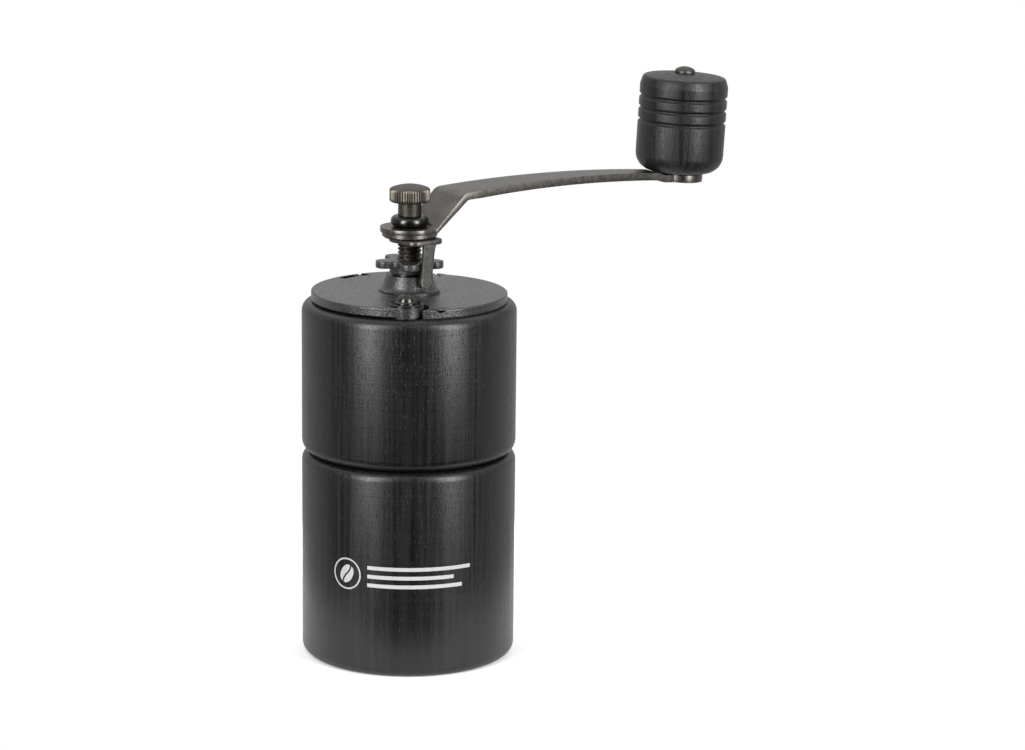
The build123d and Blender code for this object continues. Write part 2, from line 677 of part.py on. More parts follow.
with BuildPart() as knob:
    with BuildSketch(knob_side) as knob_outline:
        with BuildLine():
            Polyline(
                (KNOB_BORE_R, KNOB_FOOT), (KNOB_R, KNOB_FOOT), (KNOB_R, KNOB_TOP - 4.5),
                (13.9, KNOB_TOP - 1.3), (6.0, KNOB_TOP), (KNOB_BORE_R, KNOB_TOP), close=True,
            )
        make_face()
        foot_corner = knob_outline.vertices().group_by(Axis.X)[-1].sort_by(Axis.Y)[0]
        fillet(foot_corner, KNOB_FOOT_ROUND)
        for groove in range(3):
            with Locations((KNOB_R, TOP_GROOVE - groove * GROOVE_PITCH)):
                Circle(0.75, mode=Mode.SUBTRACT)
    revolve(axis=knob_axis)

with BuildPart() as knob_bush:
    with BuildSketch(knob_base.offset(KNOB_FOOT)):
        Circle(KNOB_BORE_R)
        Circle(BUSH_BORE_R, mode=Mode.SUBTRACT)
    extrude(amount=KNOB_H)

with BuildPart() as knob_rivet:
    with BuildSketch(knob_side):
        with BuildLine():
            Polyline(
                (0, KNOB_TOP + 2.3), (0, -PAD_T - 0.4), (1.7, -PAD_T - 0.4), (RIVET_R, -PAD_T - 0.1),
                (RIVET_R, KNOB_TOP + 0.15), (3.45, KNOB_TOP + 0.15), (3.45, KNOB_TOP + 0.4),
            )
            dome(3.45, KNOB_TOP + 0.4, KNOB_TOP + 2.3)
        make_face()
    revolve(axis=knob_axis)

# ---------------------------------------------------------------- write every piece

pieces = {
    "lower_body": lower_body.part,
    "upper_body": upper_body.part,
    "top_frame": top_frame.part,
    "frame_screws": Compound(children=[front_screw, rear_screw]),
    "lid": lid.part,
    "lid_washer": lid_washer.part,
    "lid_screw": lid_screw.part,
    "mill_housing": mill_housing.part,
    "outer_burr": outer_burr.part,
    "inner_burr": inner_burr.part,
    "lower_bridge": lower_bridge.part,
    "bridge_bush": bridge_bush.part,
    "burr_screws": burr_screws.part,
    "boss_bush": boss_bush.part,
    "thrust_washer": thrust_washer.part,
    "star_nut": star_nut.part,
    "shaft": shaft.part,
    "drive_pin": drive_pin.part,
    "burr_washer": burr_washer.part,
    "burr_nut": burr_nut.part,
    "spring_washer": spring_washer.part,
    "spring": spring.part,
    "lock_clip": lock_clip.part,
    "crank_washer": crank_washer.part,
    "crank_arm": crank_arm.part,
    "dome_washer": dome_washer.part,
    "thumb_nut": thumb_nut.part,
    "knob_washer": knob_washer.part,
    "knob": knob.part,
    "knob_bush": knob_bush.part,
    "knob_rivet": knob_rivet.part,
}

os.makedirs("parts", exist_ok=True)
for name, piece in pieces.items():
    piece.label = name
    export_step(piece, f"parts/{name}.step")
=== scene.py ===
"""Visual scene of the hand crank coffee grinder, built over its CAD frame."""
import json
from bisect import bisect_right
from math import acos, atan2, ceil, cos, exp, hypot, pi, radians, sin, sqrt, tan

import bmesh
import bpy
from mathutils import Matrix, Vector


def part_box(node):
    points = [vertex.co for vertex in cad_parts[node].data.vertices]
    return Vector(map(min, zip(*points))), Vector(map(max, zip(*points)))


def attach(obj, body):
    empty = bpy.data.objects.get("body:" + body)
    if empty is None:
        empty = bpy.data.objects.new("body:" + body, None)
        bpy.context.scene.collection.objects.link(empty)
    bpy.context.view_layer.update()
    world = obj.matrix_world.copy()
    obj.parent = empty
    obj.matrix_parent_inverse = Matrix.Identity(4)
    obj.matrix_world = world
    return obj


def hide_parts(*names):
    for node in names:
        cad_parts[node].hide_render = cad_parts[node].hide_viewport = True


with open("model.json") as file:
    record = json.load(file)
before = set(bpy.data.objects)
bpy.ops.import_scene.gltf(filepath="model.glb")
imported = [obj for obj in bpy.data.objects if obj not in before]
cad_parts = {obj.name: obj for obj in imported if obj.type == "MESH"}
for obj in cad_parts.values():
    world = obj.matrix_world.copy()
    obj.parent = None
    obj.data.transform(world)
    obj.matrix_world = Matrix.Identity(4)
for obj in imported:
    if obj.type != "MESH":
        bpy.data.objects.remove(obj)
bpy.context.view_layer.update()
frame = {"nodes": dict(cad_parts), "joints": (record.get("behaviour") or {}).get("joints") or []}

# ------------------------------------------------------------------ sizes

MM = 0.001
joints = {joint["name"]: joint for joint in frame["joints"]}


def box_mm(node):
    """Lowest and highest corner of a CAD node in millimetres."""
    low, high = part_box(node)
    return low / MM, high / MM


knob_foot_point = Vector(joints["knob_spin"]["pos_m"]) / MM
knob_axis = Vector(joints["knob_spin"]["axis"])
crank_angle = atan2(knob_foot_point.y, knob_foot_point.x)
front_dir = Vector((sin(crank_angle), -cos(crank_angle), 0))

cup_high = box_mm("lower_body")[1]
top_low, top_high = box_mm("upper_body")
clip_low = box_mm("lock_clip")[0]
star_low, star_high = box_mm("star_nut")
dome_low, dome_high = box_mm("dome_washer")
nut_low, nut_high = box_mm("thumb_nut")
shaft_low, shaft_high = box_mm("shaft")

# The wood is a hair smaller than the CAD body, which leaves room for the printed mark on it
body_r = 34.96
seam_z = top_low.z
wood_top = top_high.z
lid_top = box_mm("lid")[1].z
shaft_r = shaft_high.x

# ------------------------------------------------------------------ mesh helpers, in millimetres

USUAL_SHARP = 38.0


def rounded(corners, closed=False, steps=7):
    """Points of an outline of (x, y, radius) corners, with an arc at each corner that has a radius."""
    points = []
    count = len(corners)
    for i, (x, y, radius) in enumerate(corners):
        here = Vector((x, y))
        if radius <= 0 or (not closed and i in (0, count - 1)):
            points.append(here)
            continue
        before = Vector(corners[i - 1][:2]) - here
        after = Vector(corners[(i + 1) % count][:2]) - here
        turn = before.angle(after)
        reach = radius / tan(turn / 2)
        centre = here + (before.normalized() + after.normalized()).normalized() * radius / sin(turn / 2)
        start = here + before.normalized() * reach - centre
        finish = here + after.normalized() * reach - centre
        sweep = start.angle_signed(finish)
        for k in range(steps + 1):
            points.append(centre + Matrix.Rotation(-sweep * k / steps, 2) @ start)
    return points


def arc_through(first, middle, last, count):
    """Points of the arc through three points, from the first to the last."""
    ax, ay = first
    bx, by = middle
    cx, cy = last
    d = 2 * (ax * (by - cy) + bx * (cy - ay) + cx * (ay - by))
    a2, b2, c2 = ax**2 + ay**2, bx**2 + by**2, cx**2 + cy**2
    x = (a2 * (by - cy) + b2 * (cy - ay) + c2 * (ay - by)) / d
    y = (a2 * (cx - bx) + b2 * (ax - cx) + c2 * (bx - ax)) / d
    radius = hypot(ax - x, ay - y)
    start, end = atan2(ay - y, ax - x), atan2(cy - y, cx - x)
    turns = [start + (end - start) * k / count for k in range(count + 1)]
    return [Vector((x + radius * cos(t), y + radius * sin(t))) for t in turns]


def running_lengths(path):
    """Distance along a path at each of its points."""
    lengths = [0.0]
    for a, b in zip(path, path[1:]):
        lengths.append(lengths[-1] + (b - a).length)
    return lengths


def subdivided(path, step):
    """The path with points added, so that none are more than step apart."""
    points = []
    for a, b in zip(path, path[1:]):
        count = max(1, ceil((b - a).length / step))
        points += [a.lerp(b, k / count) for k in range(count)]
    return points + [path[-1]]


def interpolate(table):
    """A function that follows a table of (distance, value) pairs in straight lines."""
    def value_at(x):
        for (x0, y0), (x1, y1) in zip(table, table[1:]):
            if x < x1:
                return y0 + (y1 - y0) * max(x - x0, 0.0) / (x1 - x0)
        return table[-1][1]
    return value_at


def shade_smooth(mesh, sharp):
    """Smooth shading, broken at edges that turn by more than sharp degrees."""
    for polygon in mesh.polygons:
        polygon.use_smooth = True
    mesh.set_sharp_from_angle(angle=radians(sharp))


def finish_mesh(name, mesh, sharp=USUAL_SHARP):
    """Clean a mesh in millimetres, scale it to metres and put it in the scene."""
    work = bmesh.new()
    work.from_mesh(mesh)
    bmesh.ops.remove_doubles(work, verts=work.verts, dist=1e-4)
    bmesh.ops.dissolve_degenerate(work, edges=work.edges, dist=1e-5)
    bmesh.ops.recalc_face_normals(work, faces=work.faces)
    work.to_mesh(mesh)
    work.free()
    mesh.transform(Matrix.Scale(MM, 4))
    shade_smooth(mesh, sharp)
    piece = bpy.data.objects.new(name, mesh)
    bpy.context.scene.collection.objects.link(piece)
    return piece


def raw_mesh(name, points, faces):
    """A mesh from its points and faces."""
    mesh = bpy.data.meshes.new(name)
    mesh.from_pydata([tuple(point) for point in points], [], faces)
    return mesh


def lathe(name, outline, place=None, segments=160, closed=False, ripple=None):
    """Turn an outline of (radius, height) points about +Z.

    ripple(angle, radius, height) gives a new radius.
    """
    points = []
    rings = []
    for radius, height in outline:
        if radius < 1e-6:
            rings.append([len(points)] * segments)
            points.append(Vector((0, 0, height)))
            continue
        ring = []
        for k in range(segments):
            angle = 2 * pi * k / segments
            r = ripple(angle, radius, height) if ripple else radius
            ring.append(len(points))
            points.append(Vector((r * cos(angle), r * sin(angle), height)))
        rings.append(ring)
    pairs = list(zip(rings, rings[1:]))
    if closed:
        pairs.append((rings[-1], rings[0]))
    faces = []
    for lower, upper in pairs:
        for k in range(segments):
            n = (k + 1) % segments
            corners = [lower[k], lower[n], upper[n], upper[k]]
            face = [c for i, c in enumerate(corners) if c != corners[i - 1]]
            if len(face) > 2:
                faces.append(face)
    if place:
        points = [place @ point for point in points]
    return raw_mesh(name, points, faces)


def baked_mesh(holder):
    """A new mesh from a curve or from a mesh with modifiers."""
    bpy.context.view_layer.update()
    return bpy.data.meshes.new_from_object(holder.evaluated_get(bpy.context.evaluated_depsgraph_get()))


def plate(name, outlines, low, high, edge, place=None):
    """A flat plate between two heights, with edges rounded by edge.

    The first outline is the rim, and the rest are holes.
    """
    curve = bpy.data.curves.new(name, "CURVE")
    curve.dimensions = "2D"
    curve.fill_mode = "BOTH"
    curve.extrude = (high - low) / 2 - edge
    curve.bevel_depth = edge
    curve.bevel_resolution = 2
    curve.offset = -edge
    for outline in outlines:
        spline = curve.splines.new("POLY")
        spline.points.add(len(outline) - 1)
        for point, (x, y) in zip(spline.points, outline):
            point.co = (x, y, 0, 1)
        spline.use_cyclic_u = True
    holder = bpy.data.objects.new(name, curve)
    bpy.context.scene.collection.objects.link(holder)
    mesh = baked_mesh(holder)
    bpy.data.objects.remove(holder)
    mesh.materials.clear()
    mesh.transform(Matrix.Translation((0, 0, (low + high) / 2)))
    if place:
        mesh.transform(place)
    return mesh


def hole_circle(radius, count=96):
    """Points of a circle about the origin, clockwise as an outline of a hole."""
    return [(radius * cos(2 * pi * k / count), -radius * sin(2 * pi * k / count)) for k in range(count)]


def join_solids(target, other):
    """Boolean union of two scene pieces; the second is used up."""
    modifier = target.modifiers.new("union", "BOOLEAN")
    modifier.operation = "UNION"
    modifier.solver = "EXACT"
    modifier.object = other
    mesh = baked_mesh(target)
    mesh.name = target.name
    target.modifiers.clear()
    target.data = mesh
    bpy.data.objects.remove(other)
    shade_smooth(mesh, USUAL_SHARP)
    return target


def place_piece(piece, body, material, slot, *nodes):
    """Give a piece its material and its body, and hide the CAD nodes it stands for."""
    piece.data.materials.clear()
    piece.data.materials.append(material)
    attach(piece, body)
    if nodes:
        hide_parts(*nodes)


# ------------------------------------------------------------------ material helpers


class Shader:
    """A material being built. Its patterns are functions of the place on the piece, in metres."""

    def __init__(self, name):
        self.material = bpy.data.materials.new(name)
        self.material.use_nodes = True
        self.tree = self.material.node_tree
        self.surface = self.tree.nodes["Principled BSDF"]
        self.place = self.add("ShaderNodeTexCoord").outputs["Object"]

    def add(self, kind, inputs=None, **settings):
        """Add a node with its settings, and with values or links for its inputs."""
        made = self.tree.nodes.new(kind)
        for key, value in settings.items():
            setattr(made, key, value)
        for key, value in (inputs or {}).items():
            self.join(made.inputs[key], value)
        return made

    def join(self, socket, value):
        """Link a socket to an output, or set it to a value."""
        if isinstance(value, bpy.types.NodeSocket):
            self.tree.links.new(value, socket)
        else:
            socket.default_value = value

    def set(self, **inputs):
        """Set or link inputs of the surface shader, with _ in place of each space."""
        for key, value in inputs.items():
            self.join(self.surface.inputs[key.replace("_", " ")], value)

    def stretch(self, x, y, z):
        """The position scaled by axis: a higher number makes a pattern finer that way."""
        return self.add("ShaderNodeMapping", {"Vector": self.place, "Scale": (x, y, z)}).outputs["Vector"]

    def noise(self, scale, detail=3.0, rough=0.5, vector=None):
        made = self.add("ShaderNodeTexNoise", {
            "Vector": vector or self.place, "Scale": scale, "Detail": detail, "Roughness": rough,
        })
        return made.outputs["Fac"]

    def cells(self, x, y, z):
        """Distance to the nearest of the scattered points of a pattern stretched by axis."""
        made = self.add("ShaderNodeTexVoronoi", {"Vector": self.stretch(x, y, z), "Scale": 1.0})
        return made.outputs["Distance"]

    def calc(self, operation, first, second):
        return self.add("ShaderNodeMath", {0: first, 1: second}, operation=operation).outputs[0]

    def span(self, value, low, high, to_low=0.0, to_high=1.0):
        """Smoothly rescale a value and hold it between two limits."""
        made = self.add("ShaderNodeMapRange", {
            "Value": value, "From Min": low, "From Max": high, "To Min": to_low, "To Max": to_high,
        }, interpolation_type="SMOOTHSTEP")
        return made.outputs["Result"]

    def blend(self, share, first, second):
        """Mix two colours."""
        made = self.add("ShaderNodeMix", data_type="RGBA")
        self.join(made.inputs["Factor"], share)
        self.join(made.inputs["A"], (*first, 1) if isinstance(first, tuple) else first)
        self.join(made.inputs["B"], (*second, 1) if isinstance(second, tuple) else second)
        return made.outputs["Result"]

    def bump(self, height, distance, strength, under=None):
        """Relief of a height pattern, distance metres deep, over the relief under it."""
        inputs = {"Height": height, "Distance": distance, "Strength": strength}
        if under:
            inputs["Normal"] = under
        return self.add("ShaderNodeBump", inputs).outputs["Normal"]


# ------------------------------------------------------------------ materials


def black_wood(name, rough=0.33, worn=1.0):
    """Black stained turned wood under satin lacquer: pores along the grain and faint turning marks."""
    s = Shader(name)
    drift = s.noise(25.0, 2.0)
    fine_pores = s.span(s.cells(2100, 2100, 210), 0.10, 0.22, 1.0, 0.0)
    long_pores = s.span(s.cells(820, 820, 95), 0.09, 0.17, 1.0, 0.0)
    chosen = s.span(s.noise(1.0, 2.0, vector=s.stretch(150, 150, 12)), 0.56, 0.64)
    long_pores = s.calc("MULTIPLY", long_pores, chosen)
    pores = s.calc("MAXIMUM", s.calc("MULTIPLY", fine_pores, 0.35), long_pores)
    streaks = s.noise(1.0, 4.0, 0.6, vector=s.stretch(700, 700, 14))
    turning = s.noise(1.0, 3.0, 0.6, vector=s.stretch(18, 18, 1500))
    scratches = s.noise(1.0, 3.0, 0.7, vector=s.stretch(2300, 2300, 330))
    stain = s.blend(s.span(streaks, 0.35, 0.7), (0.0022, 0.0021, 0.0019), (0.0065, 0.0063, 0.0058))
    stain = s.blend(s.span(drift, 0.35, 0.65, 0.0, 0.45), stain, (0.0045, 0.0043, 0.0041))
    color = s.blend(pores, stain, (0.0018, 0.0017, 0.0016))
    gloss = s.span(turning, 0.3, 0.7, rough, rough + 0.04)
    gloss = s.calc("ADD", gloss, s.span(drift, 0.3, 0.7, -0.015, 0.02))
    gloss = s.calc("ADD", gloss, s.calc("MULTIPLY", pores, 0.25))
    gloss = s.calc("ADD", gloss, s.span(streaks, 0.35, 0.65, -0.03 * worn, 0.05 * worn))
    relief = s.bump(turning, 0.000018, 0.6)
    relief = s.bump(streaks, 0.00004 * worn, 0.6, relief)
    relief = s.bump(scratches, 0.00005 * worn, 0.7, relief)
    relief = s.bump(s.calc("SUBTRACT", 1.0, pores), 0.00016, 0.9, relief)
    s.set(Base_Color=color, Roughness=gloss, Normal=relief, IOR=1.43)
    return s.material


def painted_shade_in_sunk_mark(s):
    """A mask of the mark sunk in the lid near its rim, to the left of the boss and behind it, where shade is
    painted.
    """
    split = s.add("ShaderNodeSeparateXYZ", {"Vector": s.place}).outputs
    sunk = s.span(split["Z"], (lid_top - 0.35) * MM, (lid_top - 0.1) * MM, 1.0, 0.0)
    beside = s.calc("LESS_THAN", split["X"], -11.5 * MM)
    behind = s.calc("GREATER_THAN", split["Y"], 16.5 * MM)
    return s.calc("MULTIPLY", sunk, s.calc("MULTIPLY", beside, behind))


def cast_iron(name, base, rough, grain=1.0, shade_sunk_mark=False):
    """Satin cast metal: fine grain, soft lumps and a few pinholes. The last argument paints shade into the
    lid's sunk mark, near black and almost without reflection.
    """
    s = Shader(name)
    fine = s.noise(1500.0, 3.0, 0.65)
    lumps = s.noise(420.0, 2.0)
    pits = s.span(s.cells(620, 620, 620), 0.05, 0.13, 1.0, 0.0)
    pits = s.calc("MULTIPLY", pits, s.span(s.noise(160.0, 1.0), 0.60, 0.66))
    tone = s.calc("ADD", s.span(fine, 0.3, 0.7, 0.0, 0.5), s.span(lumps, 0.3, 0.7, 0.0, 0.5))
    color = s.blend(tone, tuple(0.7 * c for c in base), tuple(1.35 * c for c in base))
    color = s.blend(pits, color, (0.004, 0.004, 0.004))
    if shade_sunk_mark:
        # painted shade: the sunk mark is made near black and its reflection is almost taken away
        mark = painted_shade_in_sunk_mark(s)
        color = s.blend(mark, color, (0.002, 0.002, 0.002))
        s.set(Specular_IOR_Level=s.span(mark, 0.0, 1.0, 0.5, 0.02))
    s.set(Base_Color=color, Roughness=s.span(fine, 0.25, 0.75, rough - 0.06, rough + 0.08))
    relief = s.bump(fine, 0.00016 * grain, 1.0)
    relief = s.bump(lumps, 0.00014 * grain, 0.8, relief)
    relief = s.bump(s.calc("SUBTRACT", 1.0, pits), 0.00012, 0.8, relief)
    s.set(Normal=relief)
    return s.material


def steel(name, base, rough, worn=None, satin=0.0, brush=(300, 300, 3000)):
    """Metal with a brushed grain and a mottled tone.

    Where the piece's rim attribute is 1, it takes the worn colour and is rougher by satin.
    """
    s = Shader(name)
    grain = s.noise(1.0, 3.0, 0.6, vector=s.stretch(*brush))
    mottle = s.noise(260.0, 3.0, 0.6)
    tone = s.calc("ADD", s.span(grain, 0.3, 0.7, 0.0, 0.45), s.span(mottle, 0.3, 0.7, 0.0, 0.55))
    color = s.blend(tone, tuple(0.78 * c for c in base), tuple(1.18 * c for c in base))
    gloss = s.span(grain, 0.2, 0.8, rough - 0.05, rough + 0.07)
    if worn:
        rim = s.add("ShaderNodeAttribute", attribute_name="rim").outputs["Fac"]
        rubbed = s.calc("MULTIPLY", rim, s.span(mottle, 0.2, 0.6, 0.82, 1.0))
        color = s.blend(rubbed, color, worn)
        gloss = s.calc("ADD", gloss, s.calc("MULTIPLY", rubbed, satin))
    s.set(Base_Color=color, Metallic=1.0, Roughness=gloss)
    relief = s.bump(grain, 0.000012, 0.5)
    s.set(Normal=s.bump(mottle, 0.00002, 0.4, relief))
    return s.material


def printed_ink(name):
    """Pale screen-printed ink, slightly broken by the grain under it."""
    s = Shader(name)
    speckle = s.noise(5200.0, 2.0)
    streak = s.noise(1.0, 3.0, vector=s.stretch(900, 900, 60))
    worn = s.calc("MULTIPLY", s.span(speckle, 0.45, 0.75), s.span(streak, 0.4, 0.7))
    color = s.blend(worn, (0.36, 0.365, 0.375), (0.22, 0.22, 0.23))
    gloss = s.span(speckle, 0, 1, 0.4, 0.55)
    s.set(Base_Color=color, Roughness=gloss, Normal=s.bump(speckle, 0.00001, 0.5))
    return s.material


EVEN_BRUSH = (900, 900, 900)
SOFT_BRUSH = (700, 700, 700)
wood = black_wood("black_wood")
handled_wood = black_wood("handled_black_wood", 0.40, 2.0)
iron = cast_iron("black_iron", (0.020, 0.020, 0.020), 0.28)
# the lid's iron, with shade painted into its sunk mark
lid_iron = cast_iron("lid_iron", (0.020, 0.020, 0.020), 0.28, shade_sunk_mark=True)
raw_iron = cast_iron("raw_iron", (0.10, 0.095, 0.09), 0.6, 1.6)
burr_steel = steel("burr_steel", (0.30, 0.30, 0.30), 0.38)
gunmetal = steel("gunmetal", (0.110, 0.103, 0.094), 0.36, (0.62, 0.585, 0.52), 0.20, EVEN_BRUSH)
knurl_steel = steel("knurled_gunmetal", (0.075, 0.068, 0.060), 0.46, (0.20, 0.175, 0.15), brush=EVEN_BRUSH)
dark_steel = steel("dark_steel", (0.050, 0.049, 0.046), 0.27, brush=SOFT_BRUSH)
clip_steel = steel("clip_steel", (0.100, 0.097, 0.092), 0.42, (0.20, 0.19, 0.18), brush=SOFT_BRUSH)
bright_steel = steel("bright_steel", (0.56, 0.55, 0.53), 0.25)
bronze = steel("bronze", (0.52, 0.36, 0.20), 0.35)
ink = printed_ink("pale_ink")

# ------------------------------------------------------------------ wooden body

spigot_r, spigot_top = 29.4, cup_high.z
cup_bore_r, cup_floor = 26.6, 6.5

cup_outline = rounded([
    (0, 0, 0), (body_r, 0, 3.1), (body_r, seam_z, 3.0), (spigot_r, seam_z, 0), (spigot_r, spigot_top, 0.6),
    (cup_bore_r, spigot_top, 0.5), (cup_bore_r, cup_floor, 3.0), (0, cup_floor, 0),
])
cup = finish_mesh("cup", lathe("cup", cup_outline, segments=256))
place_piece(cup, "jar", wood, "black_wood", "lower_body")

rebate_r, rebate_top, hopper_r = 29.6, 75.0, 26.0
seat_r, seat_z = 28.2, 110.0
collar_outline = rounded([
    (rebate_r, seam_z, 0.3), (body_r, seam_z, 4.0), (body_r, wood_top, 3.0), (seat_r, wood_top, 0.2),
    (seat_r, seat_z, 0), (hopper_r, seat_z, 0), (hopper_r, rebate_top, 0), (rebate_r, rebate_top, 0),
], closed=True)
collar = finish_mesh("collar", lathe("collar", collar_outline, segments=256, closed=True))
place_piece(collar, "mill", wood, "black_wood", "upper_body")

# ------------------------------------------------------------------ star nut

lobe_count = 5
lobe_tip = -star_low.y
lobe_half = 3.1
star_bore_r, star_hub_r, star_hub_z, star_flange_z = 4.08, 6.5, 126.8, 128.7
star_outline = []
for lobe in range(lobe_count):
    axis = radians(-90 + 360 * lobe / lobe_count)
    between = axis + pi / lobe_count
    root = lobe_half / sin(pi / lobe_count)
    for side in (-1, 1):
        x = lobe_tip * cos(axis) - side * lobe_half * sin(axis)
        y = lobe_tip * sin(axis) + side * lobe_half * cos(axis)
        star_outline.append((x, y, lobe_half * 0.93))
    star_outline.append((root * cos(between), root * sin(between), 2.4))
hub_outline = rounded([
    (star_bore_r, star_hub_z, 0), (star_hub_r, star_hub_z, 0.3), (star_hub_r, star_flange_z + 0.6, 0),
    (star_bore_r, star_flange_z + 0.6, 0),
], closed=True)
star_outlines = [rounded(star_outline, closed=True), hole_circle(star_bore_r)]
star = finish_mesh("star", plate("star", star_outlines, star_flange_z, star_high.z, 0.35))
star = join_solids(star, finish_mesh("star_hub", lathe("star_hub", hub_outline, closed=True)))
place_piece(star, "adjuster", iron, "black_iron", "star_nut")

# ------------------------------------------------------------------ spindle

thread_pitch, thread_turns, thread_deep = 1.25, 9, 0.6
thread_high = 137.0
thread_low = thread_high - thread_pitch * thread_turns
drive_r, drive_top = 3.3, 141.5
top_thread_pitch, top_thread_r, top_thread_deep = 0.8, 2.45, 0.4


def helix(angle, radius, height):
    """Radius of the two right-hand threads of the spindle."""
    if thread_low < height < thread_high:
        phase = ((height - thread_low) / thread_pitch - angle / (2 * pi)) % 1.0
        return radius - thread_deep * min(1.0, abs(2 * phase - 1) * 1.15)
    if drive_top + 0.4 < height < shaft_high.z - 0.5:
        phase = ((height - drive_top) / top_thread_pitch - angle / (2 * pi)) % 1.0
        return radius - top_thread_deep * abs(2 * phase - 1)
    return radius


def between_heights(radius, low, high, step):
    """Outline points at one radius, at most step apart."""
    count = ceil((high - low) / step)
    return [(radius, low + (high - low) * k / count) for k in range(count + 1)]


journal_r, journal_top = 3.0, 84.0
shaft_outline = [(0, shaft_low.z), (journal_r - 0.5, shaft_low.z), (journal_r, shaft_low.z + 0.5)]
shaft_outline += [(journal_r, journal_top), (shaft_r, journal_top), (shaft_r, thread_low)]
shaft_outline += between_heights(shaft_r - 0.05, thread_low + 0.01, thread_high - 0.01, 0.11)
shaft_outline += [(drive_r, thread_high), (drive_r, drive_top)]
shaft_outline += between_heights(top_thread_r, drive_top, shaft_high.z - 0.4, 0.1)
shaft_outline += [(top_thread_r - top_thread_deep, shaft_high.z), (0, shaft_high.z)]
spindle = finish_mesh("spindle", lathe("spindle", shaft_outline, segments=72, ripple=helix), sharp=28)
place_piece(spindle, "spindle", knurl_steel, "gunmetal", "shaft")

# ------------------------------------------------------------------ washers and nuts on the spindle

dome_foot, dome_waist, dome_shoulder = (4.7, dome_low.z), (6.2, 143.7), (3.9, dome_high.z)
ball = arc_through(dome_foot, dome_waist, dome_shoulder, 18)
dome_bore_r = 2.6
dome_outline = [Vector((dome_bore_r, dome_low.z))] + ball + [Vector((dome_bore_r, dome_high.z))]
dome = finish_mesh("dome", lathe("dome", dome_outline, closed=True), sharp=60)
place_piece(dome, "cap", dark_steel, "dark_steel", "dome_washer")

knurl_count, knurl_deep, knurl_top = 48, 0.36, 153.9
head_low, head_r, neck_r = 149.9, 6.6, 3.8
thumb_bore_r, thumb_bore_deep = 2.55, 6.1
cap_low, cap_r = 154.4, 6.1


def knurl(angle, radius, height):
    """Straight ridges round the head of the thumb nut, fading out on its chamfers."""
    if height < head_low + 0.05 or radius < head_r - 0.3:
        return radius
    phase = (angle * knurl_count / (2 * pi)) % 1.0
    return radius - knurl_deep * abs(2 * phase - 1)


thumb_bore_top = nut_low.z + thumb_bore_deep
head_outline = [Vector((0, thumb_bore_top)), Vector((thumb_bore_r, thumb_bore_top))] + rounded([
    (thumb_bore_r, nut_low.z, 0), (neck_r, nut_low.z, 0.2), (neck_r, head_low, 0.2), (6.0, head_low, 0),
])
head_outline += [Vector((head_r - 0.15, head_low + 0.25))]
head_outline += [Vector(pair) for pair in between_heights(head_r, head_low + 0.5, knurl_top, 0.8)]
cap_rise = nut_high.z - cap_low
cap_ball = (cap_r ** 2 + cap_rise ** 2) / (2 * cap_rise)
cap_half = acos(1 - cap_rise / cap_ball)
for k in range(15):
    around = cap_half * (1 - k / 14)
    head_outline.append(Vector((cap_ball * sin(around), nut_high.z - cap_ball + cap_ball * cos(around))))
head_outline.append(Vector((0, nut_high.z)))
head_mesh = lathe("thumb_head", head_outline, segments=knurl_count * 8, ripple=knurl)
head = finish_mesh("thumb_head", head_mesh, sharp=40)
# The ridges of the knurl are worn brighter than the grooves
rim = head.data.attributes.new("rim", "FLOAT", "POINT")
for i, vertex in enumerate(head.data.vertices):
    reach = hypot(vertex.co.x, vertex.co.y) / MM
    ridge = max(0.0, (reach - head_r + knurl_deep) / knurl_deep)
    rim.data[i].value = ridge * ridge if vertex.co.z / MM > head_low else 0.0
place_piece(head, "thumb", knurl_steel, "gunmetal", "thumb_nut")

# ------------------------------------------------------------------ bent strips


